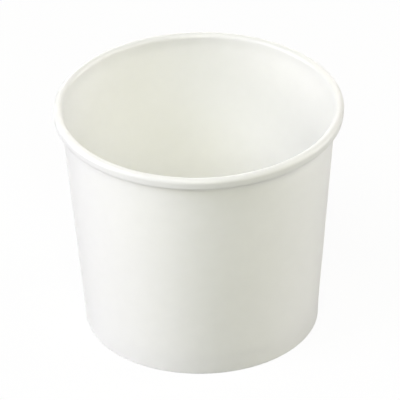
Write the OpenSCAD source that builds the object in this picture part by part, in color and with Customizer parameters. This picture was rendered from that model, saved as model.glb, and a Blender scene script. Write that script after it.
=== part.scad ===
// Paper soup cup: a leaning wall rolled from one blank of coated board, and a recessed bottom
// whose skirt is clamped in the folded foot of the wall. The origin is the centre of the foot.

/* [Cup] */
// Width over the rolled rim
rim_d = 115; // [106:0.5:130]
// Height from the foot to the top of the rim
cup_h = 97; // [60:0.5:130]
// Width at the foot
foot_d = 92.6; // [80:0.1:95]

/* [Board] */
// Thickness of the board of the side wall
wall_t = 0.45; // [0.3:0.05:0.6]
// Thickness of the board of the bottom
bottom_t = 0.35; // [0.25:0.05:0.5]
// Thickness of the film between two boards that are pressed together
seal_t = 0.03; // [0.02:0.01:0.08]

/* [Rolled rim] */
// Width of the roll, across the board
curl_w = 3.6; // [3.2:0.1:4.4]
// Height of the roll, along the wall
curl_h = 5; // [4.6:0.1:6.5]
// Gap between the wall and the end of the roll
curl_gap = 0.1; // [0.05:0.05:0.3]
// Length of the end of the board that is tucked up inside the roll
curl_tuck = 0.8; // [0.2:0.1:1.4]

/* [Foot] */
// Height of the pressed band round the foot
band_h = 9.4; // [7:0.1:12]
// How much wider the band is at its top than at the foot
band_flare = 0.9; // [0.2:0.1:1.4]
// Depth by which the band is pressed in from the line of the wall above it
press_in = 0.1; // [0.06:0.02:0.2]
// Height of the board that is folded in and up, behind the skirt of the bottom
hem_h = 7.4; // [5:0.1:7.8]
// Depth by which the folded edge is pressed flat where the cup stands
foot_press = 0.06; // [0.03:0.01:0.12]

/* [Bottom] */
// Height of the underside of the bottom above the table
recess_h = 9; // [8.6:0.1:11]
// Inside radius of the bend from the bottom into its skirt
bend_r = 0.6; // [0.4:0.1:0.8]

/* [Side seam] */
// Width of the lap where the two ends of the blank are sealed
lap_w = 8; // [5:0.5:12]
// Where the outer end of the blank lies, in degrees from +X towards +Y
seam_at = 177; // [0:1:360]
// Length over which the outer ply runs down beyond the end of the inner one
run_down = 3; // [2:0.5:5]
// How far the two plies push the roll of the rim out
curl_bump = 0.15; // [0.05:0.05:0.25]

/* [Hidden] */
$fn = 96;

rim_r = rim_d / 2;
foot_r = foot_d / 2;

// The roll of the rim: a round top on the wall's own line, and a smaller round underneath
curl_r = curl_w / 2;
curl_end_r = (curl_w - wall_t - curl_gap) / 2;
curl_flank = curl_h - curl_r - curl_end_r;
curl_top_x = rim_r - curl_r;
curl_top_z = cup_h - curl_r;

// The press line, where the band round the foot ends and the leaning wall begins
band_r = foot_r + band_flare / 2;
band_lean = atan2(band_flare / 2, band_h);
press_r = band_r + press_in;

// The wall leans so that its outer face runs from the press line into the roll without a kink
span_x = curl_top_x - press_r;
span_z = curl_top_z - band_h;
hollow_r = curl_r - wall_t;
wall_lean = atan2(span_x, span_z) - asin(hollow_r / norm([span_x, span_z]));
wall_run = sqrt(span_x ^ 2 + span_z ^ 2 - hollow_r ^ 2);
// Height of the jog that the board makes at the press line
jog_h = wall_t / 2;

// The foot: wall, film, skirt, film and hem, folded round the lower edge of the skirt
fold_r = wall_t + seal_t + bottom_t / 2;
fold_z = fold_r - foot_press;
band_run = (band_h + fold_r * sin(band_lean) - fold_z) / cos(band_lean);
hem_run = (hem_h - fold_z) / cos(band_lean);

// The bend of the bottom, seen from the centre of the fold
bend_u = bend_r + bottom_t / 2;
bend_v = (recess_h - bend_r - fold_z - bend_u * sin(band_lean)) / cos(band_lean);
// A hair by which the flat of the bottom reaches into its bend, so that the two stay one board
flat_reach = seal_t / 10;

// The side seam
mean_r = (press_r + curl_top_x) / 2;
lap_deg = lap_w / mean_r * 180 / PI;
// How far a second ply is sunk into the first, so that the two are one board
ply_lap = wall_t / 2;
// How far the plane of the run-down falls below the tangent at its end, to follow the round wall
run_fall = run_down ^ 2 / (2 * mean_r);
// The run-down starts a little below the face of the lap, by this share of the board
run_start_share = 0.9;
run_start = wall_t * run_start_share;
// Length of the wall up to the underside of the roll, inside its board
roll_under = wall_run - curl_flank - curl_end_r / 4;

// A width that is more than any half section, for cutting
cut_over = rim_d + cup_h;

// A flat ring, and the same cut down to the half above or below its centre
module ring(r, inner_r) {
    difference() {
        circle(r);
        circle(inner_r);
    }
}

module upper_half() {
    intersection() {
        children();
        translate([-cut_over / 2, 0]) square([cut_over, cut_over]);
    }
}

module lower_half() {
    intersection() {
        children();
        translate([-cut_over / 2, -cut_over]) square([cut_over, cut_over]);
    }
}

// Frames of the half section: at the centre of the roll's top, along the wall
module at_curl() {
    translate([curl_top_x, curl_top_z]) rotate(-wall_lean) children();
}

// At the centre of the fold in the foot, along the band
module at_fold() {
    translate([band_r, band_h])
        rotate(-band_lean)
            translate([-fold_r, -band_run])
                children();
}

// The foot stands flat: what would lie below the table is pressed away
module press_flat() {
    difference() {
        children();
        translate([0, -cut_over]) square([cut_over, cut_over]);
    }
}

// Half section of one ply of the blank, from the tucked end of the roll to the top of the hem
module ply_section() {
    at_curl() {
        upper_half() ring(curl_r, hollow_r);
        translate([hollow_r, -curl_flank]) square([wall_t, curl_flank]);
        translate([curl_r - curl_end_r, -curl_flank]) {
            lower_half() ring(curl_end_r, curl_end_r - wall_t);
            translate([-curl_end_r, 0]) square([wall_t, curl_tuck]);
        }
        translate([-curl_r, -wall_run]) square([wall_t, wall_run]);
    }
    press_flat() at_fold() {
        translate([fold_r - wall_t, 0]) square([wall_t, band_run + jog_h]);
        lower_half() ring(fold_r, fold_r - wall_t);
        translate([-fold_r, 0]) square([wall_t, hem_run]);
    }
}

// Half section of the second ply in the lap: outside on the wall, and inside on the hem
module lap_section() {
    at_curl() {
        translate([-hollow_r - ply_lap, -wall_run])
            square([wall_t + ply_lap, wall_run - curl_flank + curl_tuck / 2]);
        translate([curl_bump, 0]) {
            upper_half() ring(curl_r, curl_r - ply_lap);
            translate([curl_r - ply_lap, -curl_flank]) square([ply_lap, curl_flank]);
            translate([curl_r - curl_end_r, -curl_flank])
                lower_half() ring(curl_end_r, curl_end_r - ply_lap);
        }
    }
    press_flat() at_fold() {
        translate([fold_r - ply_lap, 0]) square([wall_t + ply_lap, band_run + jog_h]);
        lower_half() ring(fold_r + wall_t, fold_r - ply_lap);
        translate([-fold_r - wall_t, 0]) square([wall_t + ply_lap, hem_run]);
    }
}

// A wedge beside the inner ply's end: its face is level under the lap and then falls over the run
module run_wedge(start_x, back_x, length) {
    slope = (start_x + run_fall) / run_down;
    linear_extrude(height = length)
        polygon([
            [back_x, -ply_lap],
            [start_x, -ply_lap],
            [start_x, 0],
            [back_x, (start_x - back_x) / slope],
        ]);
}

// The outer ply runs down onto the round wall beyond the end of the inner ply
module run_down_outside() {
    translate([press_r, 0, band_h])
        rotate([0, wall_lean, 0])
            run_wedge(run_start, -ply_lap, roll_under);
    translate([band_r, 0, band_h])
        rotate([0, band_lean, 0])
            translate([0, 0, -band_run])
                run_wedge(run_start, -ply_lap, band_run + jog_h);
}

// Inside the cup the same run leaves a low step at the end of the inner ply
module run_down_inside() {
    translate([press_r, 0, band_h])
        rotate([0, wall_lean, 0])
            translate([-wall_t, ply_lap, jog_h * 2])
                run_wedge(run_start, -wall_t, roll_under - jog_h * 2);
}

module side_wall() {
    color("white") {
        difference() {
            union() {
                rotate_extrude() ply_section();
                rotate([0, 0, seam_at]) rotate_extrude(angle = lap_deg) lap_section();
                rotate([0, 0, seam_at + lap_deg]) run_down_outside();
            }
            rotate([0, 0, seam_at + lap_deg]) run_down_inside();
        }
    }
}

// Half section of the bottom: a flat disc that bends down into its skirt
module bottom_section() {
    intersection() {
        at_fold() translate([-bend_u, bend_v]) {
            intersection() {
                upper_half() ring(bend_r + bottom_t, bend_r);
                rotate(band_lean) translate([0, -cut_over / 2]) square([cut_over, cut_over]);
            }
            translate([bend_r, -bend_v]) square([bottom_t, bend_v]);
            rotate(band_lean)
                translate([-foot_r, bend_r])
                    square([foot_r + flat_reach, bottom_t]);
        }
        square([cut_over, cut_over]);
    }
}

module bottom_disc() {
    color("whitesmoke") rotate_extrude() bottom_section();
}

side_wall();
bottom_disc();
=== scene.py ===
# %% [markdown]
# # A paper soup cup
# The real cup has two physical pieces. One blank of coated board is rolled into a cone, lapped and
# sealed down one side, rolled outwards into the rim and folded inwards at the foot. A disc of
# thinner board with a turned-down skirt is clamped in that fold. This lesson models both pieces as
# closed meshes from their cross-sections, and then finishes, lights and frames them.

import math

import bpy
import numpy as np
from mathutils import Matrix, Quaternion, Vector


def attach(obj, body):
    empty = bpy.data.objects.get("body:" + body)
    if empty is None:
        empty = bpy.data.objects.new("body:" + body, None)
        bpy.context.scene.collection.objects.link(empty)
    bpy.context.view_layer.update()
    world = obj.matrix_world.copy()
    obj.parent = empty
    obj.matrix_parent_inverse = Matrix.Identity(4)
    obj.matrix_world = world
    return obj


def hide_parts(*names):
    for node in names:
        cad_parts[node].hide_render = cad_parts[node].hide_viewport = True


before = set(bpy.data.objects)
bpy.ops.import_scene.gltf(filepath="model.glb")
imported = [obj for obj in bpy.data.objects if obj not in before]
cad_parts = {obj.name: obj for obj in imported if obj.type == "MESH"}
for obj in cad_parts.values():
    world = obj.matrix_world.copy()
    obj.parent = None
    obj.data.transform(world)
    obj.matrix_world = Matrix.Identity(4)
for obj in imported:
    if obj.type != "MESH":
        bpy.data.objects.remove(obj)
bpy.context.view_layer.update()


print("CAD pieces:", sorted(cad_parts))

# %% [markdown]
# ## The measures of the cup
# A maker of cups thinks in a few numbers: the width over the rim, the height, the width at the
# foot, and the thickness of the board. All the rest follows from them. The numbers are written in
# millimetres, as on a drawing, and turned into metres at once, because the frame is in metres.

# %% Sizes from the drawing
MM = 0.001
cup_h = 97.0 * MM
rim_r = 57.5 * MM
foot_r = 46.3 * MM
wall_t = 0.45 * MM
bottom_t = 0.35 * MM
seal_t = 0.03 * MM
curl_w, curl_h, curl_gap, curl_tuck = 3.6 * MM, 5.0 * MM, 0.1 * MM, 0.8 * MM
band_h, band_flare, press_in = 9.4 * MM, 0.9 * MM, 0.1 * MM
hem_h, foot_press = 7.4 * MM, 0.06 * MM
recess_h, bend_r = 9.0 * MM, 0.6 * MM
lap_w, run_down, curl_bump = 8.0 * MM, 3.0 * MM, 0.15 * MM
seam_at = math.radians(177.0)
print(f"cup {2 * rim_r / MM:.1f} mm over the rim, {cup_h / MM:.1f} mm high")

# %% [markdown]
# ## Two local frames for the cross-section
# The cross-section is easy to draw where the board is straight up and down, and hard to draw where
# it leans. So it is drawn twice, upright, and leaned into place: once around the centre of the
# rolled rim, and once around the centre of the fold in the foot. The lean of the wall is the one
# that lets its outer face run from the foot band into the roll without a kink.

# %% Leans and lengths of the board
curl_r = curl_w / 2
hollow_r = curl_r - wall_t
curl_end_r = (curl_w - wall_t - curl_gap) / 2
curl_flank = curl_h - curl_r - curl_end_r
curl_top = np.array([rim_r - curl_r, cup_h - curl_r])

band_r = foot_r + band_flare / 2
band_lean = math.atan2(band_flare / 2, band_h)
press_line = np.array([band_r + press_in, band_h])
span = curl_top - press_line
wall_lean = math.atan2(span[0], span[1]) - math.asin(hollow_r / math.hypot(*span))
wall_run = math.sqrt(span @ span - hollow_r ** 2)

fold_r = wall_t + seal_t + bottom_t / 2
fold_z = fold_r - foot_press
band_run = (band_h + fold_r * math.sin(band_lean) - fold_z) / math.cos(band_lean)
hem_run = (hem_h - fold_z) / math.cos(band_lean)
jog_h = wall_t / 2


def lean(points, angle):
    """Turn drawn points clockwise, so that what stood upright leans outwards."""
    c, s = math.cos(angle), math.sin(angle)
    return points @ np.array([[c, -s], [s, c]])


def at_curl(points):
    """From the frame of the roll to the cup's own, as radius and height."""
    return lean(points, wall_lean) + curl_top


def at_fold(points):
    """From the frame of the fold in the foot to the cup's own."""
    return lean(points - [fold_r, band_run], band_lean) + [band_r, band_h]


print(f"wall leans {math.degrees(wall_lean):.2f} degrees, foot band {math.degrees(band_lean):.2f}")

# %% [markdown]
# ## Drawing tools for a section
# A section of folded board is only straight runs and arcs. A curve object could draw it too, but
# here no two rings round the cup are quite alike, so plain lists of points are handier. Each helper
# returns points along the way, and leaves its last point to the next run, so the runs join without
# doubled points.

# %% Runs and arcs
def run(x0, y0, x1, y1, steps):
    """Points along a straight run."""
    t = np.arange(steps) / steps
    return np.stack([x0 + (x1 - x0) * t, y0 + (y1 - y0) * t], 1)


def arc(x, y, r, start, end, steps):
    """Points along an arc round (x, y), from one angle in degrees to another."""
    a = np.radians(start + (end - start) * np.arange(steps) / steps)
    return np.stack([x + r * np.cos(a), y + r * np.sin(a)], 1)


print("a quarter turn in three steps:", arc(0.0, 0.0, 1.0, 0, 90, 3).round(2).tolist())

# %% [markdown]
# ## The side wall's section, with its seam
# Where the two ends of the blank lap, the board is doubled: the second ply lies outside on the
# wall, and beyond the end of the inner ply the outer one runs down onto the round again. So the
# section changes with the place on the round. It takes how far the outer face of the board stands
# proud, how far its food face has moved outwards, how far the two plies push the roll out, and how
# deep the toothed wheel that presses the foot together has marked the hem.

# %% One ring of the side wall
def wall_section(proud, moved, bump, tooth):
    """The closed outline of the board from its end inside the roll, and where the hem's top is."""
    end_r = curl_end_r - proud / 2
    end_x = curl_r - end_r
    roll_low = -curl_flank - curl_end_r
    tuck_top = curl_tuck - curl_flank

    def in_roll(points):
        pushed = points.copy()
        pushed[:, 0] += bump * (points[:, 0] + curl_r) / curl_w
        return at_curl(pushed)

    roll_food = [
        in_roll(run(end_x - end_r, tuck_top, end_x - end_r, -curl_flank, 2)),
        in_roll(arc(end_x, -curl_flank, end_r, 180, 360, 18)),
        in_roll(run(curl_r, -curl_flank, curl_r, 0.0, 4)),
        in_roll(arc(0.0, 0.0, curl_r, 0, 180, 28)),
    ]
    food_x = moved - curl_r
    wall_food = [
        at_curl(run(-curl_r, 0.0, food_x, roll_low, 5)),
        at_curl(run(food_x, roll_low, food_x, 2 * jog_h - wall_run, 26)),
        at_curl(run(-curl_r, 2 * jog_h - wall_run, -curl_r, -wall_run, 1)),
    ]
    fold_in = fold_r - wall_t
    foot_food = [
        at_fold(run(fold_in, band_run, fold_in, 0.0, 6)),
        at_fold(arc(0.0, 0.0, fold_in, 0, -180, 8)),
        at_fold(run(-fold_in, 0.0, -fold_in, hem_run, 3)),
    ]

    out_r = fold_r + proud
    face_x = proud - hollow_r
    hem_face = run(-out_r, hem_run, -out_r, 0.0, 8)
    up = hem_face[:, 1] / hem_run
    hem_face[:, 0] += tooth * np.clip(6 * up * (1 - up), 0.0, 1.0)
    outside = [
        at_fold(run(-fold_in, hem_run, -out_r, hem_run, 1)),
        at_fold(hem_face),
        at_fold(arc(0.0, 0.0, out_r, 180, 360, 16)),
        at_fold(run(out_r, 0.0, out_r, band_run - jog_h, 7)),
        at_curl(run(face_x, jog_h / 2 - wall_run, face_x, roll_low, 30)),
        at_curl(run(face_x, roll_low, face_x, 0.0, 6)),
    ]

    thick = wall_t + proud
    tuck_x = end_x - end_r + thick
    roll_inside = [
        in_roll(arc(0.0, 0.0, curl_r - thick, 180, 0, 8)),
        in_roll(run(curl_r - thick, 0.0, curl_r - thick, -curl_flank, 2)),
        in_roll(arc(end_x, -curl_flank, end_r - thick, 0, -180, 6)),
        in_roll(run(tuck_x, -curl_flank, tuck_x, tuck_top, 2)),
        in_roll(np.array([[tuck_x, tuck_top]])),
    ]
    food_side = roll_food + wall_food + foot_food
    section = np.concatenate(food_side + outside + roll_inside)
    section[:, 1] = np.maximum(section[:, 1], 0.0)
    return section, sum(len(part) for part in food_side)


plain_section, hem_top = wall_section(0.0, 0.0, 0.0, 0.0)
print(f"one ring of the side wall has {len(plain_section)} points")

# %% [markdown]
# ## Where the seam lies
# A seam could be a strip laid over the wall, but its edges would show where the real board is one
# sheet. So it is part of the wall's own section here, as functions of the angle round the cup. The
# outer face steps up at once at the cut end of the outer ply. The food face steps back at once at
# the end of the inner ply, and from there both faces run down together, because there the board is
# single again. Over the lap the roll is pushed out a little. The marks of the toothed wheel on the
# hem are a function of the angle too.

# %% The seam as functions of the angle
mean_r = (press_line[0] + curl_top[0]) / 2
lap_end = seam_at + lap_w / mean_r
run_angle = run_down / mean_r
cut = math.radians(0.02)
teeth, tooth_depth = 120, 0.12 * MM
column_step = 0.75
run_shares = np.linspace(0.08, 1.0, 12)


def run_down_share(angle):
    """1 up to the end of the inner ply, and from there easing down to 0."""
    t = np.clip((angle - lap_end) / run_angle, 0.0, 1.0)
    return (1 - t) ** 2 * (1 + 2 * t)


def outer_step(angle):
    """How far the outer face stands proud of a single board."""
    return wall_t * run_down_share(angle) if angle >= seam_at else 0.0


def food_step(angle):
    """How far the food face has moved outwards."""
    return wall_t * run_down_share(angle) if angle >= lap_end else 0.0


def rim_bump(angle):
    """How far the two plies push the roll out."""
    rise = np.clip((angle - seam_at + run_angle) / (2 * run_angle), 0.0, 1.0)
    return curl_bump * rise * rise * (3 - 2 * rise) if angle < lap_end else 0.0


def tooth_mark(angle):
    """How deep the wheel has marked the hem."""
    return tooth_depth * (0.5 + 0.5 * math.cos(teeth * angle))


columns = np.concatenate([
    np.radians(np.arange(0.0, 360.0, column_step)),
    [seam_at - cut, seam_at, lap_end - cut, lap_end],
    lap_end + run_angle * run_shares,
])
columns = np.unique(columns.round(7))
lap_from, lap_to = math.degrees(seam_at), math.degrees(lap_end)
print(f"{len(columns)} columns round the cup, lap from {lap_from:.1f} to {lap_to:.1f} degrees")

# %% [markdown]
# ## Turning sections into a closed mesh
# Blender's Screw modifier turns one section round an axis, but then all the rings are alike, and
# here the seam changes them. So each ring is drawn by itself. With the same number of points in
# each, the mesh is a plain grid that closes both ways, like a torus. Quads keep the shading calm on
# a surface that is nearly a cone. Edges that are sharper than a given angle are marked, so that cut
# edges stay crisp and the rest is smooth.

# %% A ring mesh
def ring_mesh(name, rings, angles, materials, cut_of=None, crease=32.0):
    """A closed piece from one ring of (radius, height) points at each angle."""
    rings = np.asarray(rings)
    count, size = rings.shape[:2]
    flat = np.stack([
        rings[:, :, 0] * np.cos(angles)[:, None],
        rings[:, :, 0] * np.sin(angles)[:, None],
        rings[:, :, 1],
    ], 2).reshape(-1, 3)
    i, j = np.meshgrid(np.arange(count), np.arange(size), indexing="ij")
    a = i * size + j
    b = i * size + (j + 1) % size
    c = (i + 1) % count * size + (j + 1) % size
    d = (i + 1) % count * size + j
    faces = np.stack([a, b, c, d], 2).reshape(-1, 4)
    mesh = bpy.data.meshes.new(name)
    mesh.from_pydata(flat.tolist(), [], faces.tolist())
    for material in materials:
        mesh.materials.append(material)
    if cut_of is not None:
        mesh.polygons.foreach_set("material_index", cut_of(i, j).astype(np.int32).ravel())
    mesh.shade_smooth()
    mesh.set_sharp_from_angle(angle=math.radians(crease))
    piece = bpy.data.objects.new(name, mesh)
    bpy.context.scene.collection.objects.link(piece)
    print(f"{name}: {len(flat)} points, {2 * len(faces)} triangles")
    return piece


# %% [markdown]
# ## Clouds and fibres
# Cup board is bleached paper. Close up it is a little cloudy, because its fibres lie in flocs, and
# its face has the relief of the fibres themselves. Both could be painted as pictures, but noise
# has no edges and repeats nowhere. A wide noise makes the clouds in the colour, and a fine one,
# stretched along the grain, makes the relief.

# %% A noise over the board
cloud_scale, cloud_detail, cloud_roughness, cloud_shade = 180.0, 3.0, 0.5, 0.985
fibre_scale, fibre_detail, fibre_roughness, along_grain = 2200.0, 4.0, 0.6, 0.35


def noise(tree, vector, scale, detail, roughness):
    """A noise with so many features to the metre."""
    node = tree.nodes.new("ShaderNodeTexNoise")
    node.inputs["Scale"].default_value = scale
    node.inputs["Detail"].default_value = detail
    node.inputs["Roughness"].default_value = roughness
    tree.links.new(vector, node.inputs["Vector"])
    return node.outputs["Fac"]


print(f"clouds {1 / cloud_scale / MM:.1f} mm apart, fibres {1 / fibre_scale / MM:.2f} mm")

# %% [markdown]
# ## Coated board
# The board has a thin film of plastic on it, and a plain white shader would make it look like
# plaster. The film is the shader's thin coat. It follows the fibres, so highlights are soft and
# slightly broken. White board is not quite opaque either: light soaks a fraction of a millimetre
# into it and comes out beside where it went in, or on the other face, so shadows on it are soft and
# a cup glows a little inside. The shader's subsurface walk does that, because the board here has
# its real thickness.

# %% The board's material
film_roughness = 0.3
soak_depth = 0.5 * MM
gloss_change = 0.05
relief_strength, relief_height = 0.35, 0.02 * MM


def board(name, colour, roughness, film):
    material = bpy.data.materials.new(name)
    material.use_nodes = True
    tree = material.node_tree
    nodes, links = tree.nodes, tree.links
    shader = nodes["Principled BSDF"]
    shader.inputs["IOR"].default_value = 1.5
    shader.inputs["Specular IOR Level"].default_value = 0.25
    shader.inputs["Coat Weight"].default_value = film
    shader.inputs["Coat Roughness"].default_value = film_roughness
    shader.inputs["Subsurface Weight"].default_value = 1.0
    shader.inputs["Subsurface Radius"].default_value = (1.0, 1.0, 1.0)
    shader.inputs["Subsurface Scale"].default_value = soak_depth

    place = nodes.new("ShaderNodeTexCoord")
    grain = nodes.new("ShaderNodeMapping")
    grain.inputs["Scale"].default_value = (1.0, 1.0, along_grain)
    links.new(place.outputs["Object"], grain.inputs["Vector"])

    flat = place.outputs["Object"]
    clouds = noise(tree, flat, cloud_scale, cloud_detail, cloud_roughness)
    tint = nodes.new("ShaderNodeValToRGB")
    tint.color_ramp.elements[0].position = 0.3
    tint.color_ramp.elements[1].position = 0.7
    tint.color_ramp.elements[0].color = (*[c * cloud_shade for c in colour], 1.0)
    tint.color_ramp.elements[1].color = (*colour, 1.0)
    links.new(clouds, tint.inputs["Fac"])
    links.new(tint.outputs["Color"], shader.inputs["Base Color"])

    stretched = grain.outputs["Vector"]
    fibres = noise(tree, stretched, fibre_scale, fibre_detail, fibre_roughness)
    gloss = nodes.new("ShaderNodeMapRange")
    gloss.inputs["To Min"].default_value = roughness - gloss_change
    gloss.inputs["To Max"].default_value = roughness + gloss_change
    links.new(fibres, gloss.inputs["Value"])
    links.new(gloss.outputs["Result"], shader.inputs["Roughness"])

    relief = nodes.new("ShaderNodeBump")
    relief.inputs["Strength"].default_value = relief_strength
    relief.inputs["Distance"].default_value = relief_height
    links.new(fibres, relief.inputs["Height"])
    links.new(relief.outputs["Normal"], shader.inputs["Normal"])
    return material


bleached, raw = (0.92, 0.92, 0.9), (0.82, 0.81, 0.77)
coated_board = board("coated_board", bleached, roughness=0.5, film=0.7)
cut_board = board("cut_board", raw, roughness=0.8, film=0.0)
bottom_board = board("bottom_board", bleached, roughness=0.5, film=0.6)
print("materials:", coated_board.name, cut_board.name, bottom_board.name)

# %% [markdown]
# ## Waves in the wall
# The machine that rolls a cup never makes it perfectly round: the board springs back a little more
# along the grain than across it. A few low waves, up to 0.15 mm deep, keep the light on the wall
# from looking turned on a lathe. Noise could move the points too, but a few named waves stay smooth
# and only go inwards, so the cup grows nowhere. They fade out at the foot, where the bottom disc
# holds the wall round.

# %% Out of round
waves_from, waves_rise = 14 * MM, 60 * MM
waves = [(2, 1.0, 0.6), (3, 0.5, 2.1), (7, 0.3, 4.0)]
highest_wave = sum(size for _, size, _ in waves)
wave_mm, ripple_mm, ripple_length = 0.035, 0.012, 11 * MM


def out_of_round(angle, height):
    """Waves as (how many round the cup, size, phase), and a ripple that winds up the wall."""
    up = np.clip((height - waves_from) / waves_rise, 0.0, 1.0)
    up = up * up * (3 - 2 * up)
    wave = sum(size * np.cos(count * angle + phase) for count, size, phase in waves)
    ripple = np.sin(height / ripple_length + 2 * angle)
    return MM * up * (wave_mm * (wave - highest_wave) + ripple_mm * (ripple - 1.0))


deepest = 2 * (wave_mm * highest_wave + ripple_mm)
print(f"the waves go in by {deepest:.2f} mm at most")

# %% [markdown]
# ## The side wall
# Now the wall is one ring for each column round the cup. Its faces are coated on both sides, but
# where the blank was cut the board is raw: at both ends in the seam, along the top of the hem, and
# at the end inside the roll. A second object could carry those edges, but a second material on the
# same mesh keeps the board whole, so a small function picks the raw faces by their place in the
# grid.

# %% Build the side wall
wall_rings = []
for angle in columns:
    steps = outer_step(angle), food_step(angle), rim_bump(angle)
    section, _ = wall_section(*steps, tooth_mark(angle))
    section[:, 0] += out_of_round(angle, section[:, 1])
    wall_rings.append(section)

seam_column = int(np.argmin(abs(columns - (seam_at - cut))))
end_column = int(np.argmin(abs(columns - (lap_end - cut))))


def raw_edges(i, j):
    """1 where a face is a cut end of the board, and 0 where it is coated."""
    outer_cut = (i == seam_column) & (j >= hem_top)
    inner_cut = (i == end_column) & (j < hem_top)
    hem_edge = j == hem_top
    roll_edge = j == len(plain_section) - 1
    return outer_cut | inner_cut | hem_edge | roll_edge


side_wall = ring_mesh("side_wall_board", wall_rings, columns, [coated_board, cut_board], raw_edges)
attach(side_wall, "root")
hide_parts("side_wall")

# %% [markdown]
# ## The bottom disc
# The disc is pressed from thinner board. Its edge is bent down into a skirt, which stands between
# the wall and the wall's own hem. Board doesn't stretch, so the bend gathers in tiny pleats all
# round, and the flat middle is drawn very slightly down. A cylinder with a bevel has neither a
# skirt nor pleats, so the disc is made of rings, as the wall is. They end just short of the centre,
# which leaves a pinhole a tenth of a millimetre wide, too small to see.

# %% Build the bottom disc
bend_u = bend_r + bottom_t / 2
bend_v = (recess_h - bend_r - fold_z - bend_u * math.sin(band_lean)) / math.cos(band_lean)
bend_at = at_fold(np.array([[-bend_u, bend_v]]))[0]
disc_angles = np.radians(np.arange(0.0, 360.0, 1.0))
pleats, pleat_depth, pleat_reach = 90, 0.03 * MM, 4 * MM
uneven_spacing, uneven_depth = 1.7, 0.4
middle_sag = 0.12 * MM
pinhole_r = 0.05 * MM


def bottom_ring(angle):
    """The closed outline of the bottom, from the top of its bend, at one angle."""
    phase = pleats * angle + uneven_spacing * math.sin(3 * angle)
    depth_share = 1 - uneven_depth + uneven_depth * math.sin(5 * angle)
    pleat = pleat_depth * math.sin(phase) * depth_share
    lean_deg = math.degrees(band_lean)
    top_r, low_r = bend_r + bottom_t, bend_r
    outer = [
        arc(*bend_at, top_r, 90, -lean_deg, 12),
        at_fold(run(bottom_t / 2, bend_v, bottom_t / 2, 0.0, 8)),
        at_fold(run(bottom_t / 2, 0.0, -bottom_t / 2, 0.0, 1)),
        at_fold(run(-bottom_t / 2, 0.0, -bottom_t / 2, bend_v, 8)),
        arc(*bend_at, low_r, -lean_deg, 90, 10),
    ]
    steps = np.linspace(0.0, 1.0, 22)
    under_x = bend_at[0] + (pinhole_r - bend_at[0]) * steps
    over_x = under_x[::-1]
    under = np.stack([under_x, np.full_like(under_x, bend_at[1] + low_r)], 1)
    over = np.stack([over_x[:-1], np.full_like(over_x[:-1], bend_at[1] + top_r)], 1)
    ring = np.concatenate(outer + [under, over])
    from_bend = np.hypot(ring[:, 0] - bend_at[0], ring[:, 1] - bend_at[1] - bend_r)
    near = np.clip(1 - from_bend / pleat_reach, 0, 1)
    ring[:, 1] -= np.abs(pleat) * near
    sag = np.clip(1 - (ring[:, 0] / bend_at[0]) ** 2, 0, 1) * (ring[:, 1] > bend_at[1])
    ring[:, 1] -= middle_sag * sag
    return ring


bottom_rings = [bottom_ring(angle) for angle in disc_angles]
bottom = ring_mesh("bottom_disc_board", bottom_rings, disc_angles, [bottom_board], crease=50)
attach(bottom, "root")
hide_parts("bottom_disc")

# %% [markdown]
# ## Switches for kinds of ray
# In a studio the white sweep has lamps of its own, which turn it pure white and hardly reach the
# cup. More lamps could do that here, but they would light the cup as well. The Light Path node
# tells what kind of ray asks for a colour, so the sweep can be white to the camera, something else
# in the mirroring of the film, and darker to soft light.

# %% What the camera sees, and what is mirrored
def math_node(tree, operation, first, second):
    """A Math node; each input is a number or the output of another node."""
    node = tree.nodes.new("ShaderNodeMath")
    node.operation = operation
    for socket, value in zip(node.inputs, (first, second)):
        if isinstance(value, (int, float)):
            socket.default_value = value
        else:
            tree.links.new(value, socket)
    return node.outputs["Value"]


def ray_kinds(tree):
    """Two switches: one for what the camera sees, also through glass, and one for mirroring."""
    path = tree.nodes.new("ShaderNodeLightPath")
    straight, through = path.outputs["Is Camera Ray"], path.outputs["Is Transmission Ray"]
    return math_node(tree, "MAXIMUM", straight, through), path.outputs["Is Glossy Ray"]


print("ray switches: seen by the camera, and mirrored")

# %% [markdown]
# ## The floor
# The cup stands on the white sweep. To the camera the floor is mostly a plain white glow, and the
# rest is real shading, so a faint shadow stays. To the film on the board it shows its real shading,
# shadow included, with a little of the glow. To soft bounced light it is a pale grey, because a
# floor that glowed would light the cup from below.

# %% The floor
def plain_floor(size, drop):
    """A square floor, a hair below the foot."""
    mesh = bpy.data.meshes.new("floor")
    corners = [(x * size, y * size, -drop) for x, y in ((-1, -1), (1, -1), (1, 1), (-1, 1))]
    mesh.from_pydata(corners, [], [(0, 1, 2, 3)])
    floor = bpy.data.objects.new("floor", mesh)
    bpy.context.scene.collection.objects.link(floor)
    return floor


floor_in_soft_light, floor_seen = 0.5, 0.9
mirrored_shade = 0.45
glow_seen, glow_mirrored = 0.93, 0.1
floor = plain_floor(size=12.0, drop=0.02 * MM)
sweep = bpy.data.materials.new("white_sweep")
sweep.use_nodes = True
tree = sweep.node_tree
tree.nodes.remove(tree.nodes["Principled BSDF"])
seen, mirrored = ray_kinds(tree)

paper = tree.nodes.new("ShaderNodeBsdfDiffuse")
pale = tree.nodes.new("ShaderNodeMapRange")
pale.inputs["To Min"].default_value = floor_in_soft_light
pale.inputs["To Max"].default_value = floor_seen
part_mirrored = math_node(tree, "MULTIPLY", mirrored, mirrored_shade)
tree.links.new(math_node(tree, "MAXIMUM", seen, part_mirrored), pale.inputs["Value"])
tree.links.new(pale.outputs["Result"], paper.inputs["Color"])

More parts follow.
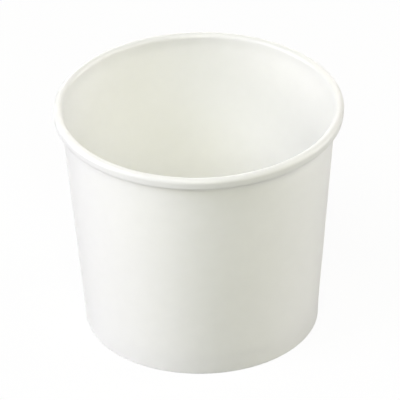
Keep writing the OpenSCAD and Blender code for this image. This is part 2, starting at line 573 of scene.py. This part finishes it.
white = tree.nodes.new("ShaderNodeEmission")
mix = tree.nodes.new("ShaderNodeMixShader")
glow = math_node(tree, "MULTIPLY", seen, glow_seen)
faint_glow = math_node(tree, "MULTIPLY", mirrored, glow_mirrored)
tree.links.new(math_node(tree, "ADD", glow, faint_glow), mix.inputs["Fac"])
tree.links.new(paper.outputs["BSDF"], mix.inputs[1])
tree.links.new(white.outputs["Emission"], mix.inputs[2])
tree.links.new(mix.outputs["Shader"], tree.nodes["Material Output"].inputs["Surface"])
floor.data.materials.append(sweep)
print("floor: pale to soft light, white to the camera")

# %% [markdown]
# ## The backdrop
# Beyond the floor the world is the same white to the camera, and about a third as strong to the
# film on the board, so the highlights stay soft. It adds no soft light of its own: all of that
# comes from the lamps.

# %% The world
world = bpy.data.worlds.new("studio")
bpy.context.scene.world = world
world.use_nodes = True
tree = world.node_tree
sky = tree.nodes["Background"]
sky.inputs["Color"].default_value = (1.0, 1.0, 1.0, 1.0)
sky.inputs["Strength"].default_value = 0.0
backdrop = tree.nodes.new("ShaderNodeBackground")
backdrop_mirrored = 0.3
seen, mirrored = ray_kinds(tree)
part_mirrored = math_node(tree, "MULTIPLY", mirrored, backdrop_mirrored)
mix = tree.nodes.new("ShaderNodeMixShader")
tree.links.new(math_node(tree, "MAXIMUM", seen, part_mirrored), mix.inputs["Fac"])
tree.links.new(sky.outputs["Background"], mix.inputs[1])
tree.links.new(backdrop.outputs["Background"], mix.inputs[2])
tree.links.new(mix.outputs["Shader"], tree.nodes["World Output"].inputs["Surface"])
print("world:", world.name)

# %% [markdown]
# ## The lamps
# Pale board needs soft light from many sides, or it clips, but a white world would light all sides
# alike and flatten the form. So eight soft boxes stand around the cup: one in front, one high up
# over the left shoulder, two on the left that keep that side the brightest, two on the right that
# lift the shade, and two behind that light the inside of the near wall. All stand equally far away.
# Each is placed by its bearing round the cup, where 0 is the camera's side and 90 is to the right,
# and by its height, both in degrees. Their tints are those of daylight that has met a few walls:
# some are a little warm, and the high one on the left is cool.

# %% Place the lamps
lamp_distance = 1.6
lamps = [
    # name, bearing, height, width in metres, watts, tint
    ("front_high", 0, 38, 0.6, 9.3, (0.985, 1.0, 0.8)),
    ("top_left", -30, 65, 0.6, 6.1, (1.0, 0.97, 0.93)),
    ("left_high", -63, 38, 0.6, 8.5, (0.74, 0.77, 1.0)),
    ("left_low", -87, 10, 0.6, 11.5, (1.0, 0.967, 0.96)),
    ("right_low", 105, 10, 0.6, 7.9, (0.98, 0.97, 1.0)),
    ("right_high", 90, 38, 0.6, 6.4, (1.0, 0.97, 0.89)),
    ("behind_low", 180, 14, 1.2, 9.8, (0.99, 0.94, 0.98)),
    ("behind_high", -150, 38, 0.6, 3.6, (0.92, 1.0, 0.6)),
]


def place_lamp(name, bearing, height, size, watts, tint):
    """A square soft box that looks at the middle of the cup, and that the camera doesn't see."""
    data = bpy.data.lights.new(name, "AREA")
    data.shape = "SQUARE"
    data.size = size
    data.energy = watts
    data.color = tint
    light = bpy.data.objects.new(name, data)
    b, h = math.radians(bearing), math.radians(height)
    way = Vector((math.sin(b) * math.cos(h), -math.cos(b) * math.cos(h), math.sin(h)))
    place = way * lamp_distance
    middle = Vector((0.0, 0.0, cup_h / 2))
    light.location = middle + place
    light.rotation_euler = (-place).to_track_quat("-Z", "Y").to_euler()
    light.visible_camera = False
    bpy.context.scene.collection.objects.link(light)
    print(f"{name}: {watts:.1f} W at bearing {bearing}, height {height}")


for row in lamps:
    place_lamp(*row)

# %% [markdown]
# ## The camera
# The photograph was taken from far away with a long lens, so the rim's ellipse is hardly opened by
# perspective. The camera looks down by about 32 degrees at a point a little above the middle of the
# cup, and it was held turned by about one degree. It could be set by eye, but these numbers come
# from a fit of the cup's outline, so the drawing's proportions are seen as they are.

# %% Set the camera
aim = Vector((-0.0001911, 0.0, 0.0525437))
look_down, roll = math.radians(31.899), math.radians(-1.042)
camera_distance = 3.18473
camera_data = bpy.data.cameras.new("camera")
camera_data.lens = 720.0
camera_data.sensor_width = 36.0
camera = bpy.data.objects.new("camera", camera_data)
back = Vector((0.0, -math.cos(look_down), math.sin(look_down)))
camera.location = aim + back * camera_distance
turn = (aim - camera.location).to_track_quat("-Z", "Y")
camera.rotation_mode = "QUATERNION"
camera.rotation_quaternion = turn @ Quaternion((0.0, 0.0, 1.0), roll)
bpy.context.scene.collection.objects.link(camera)
bpy.context.scene.camera = camera
bpy.context.scene.view_settings.view_transform = "Standard"
print("camera at", tuple(round(c, 4) for c in camera.location))
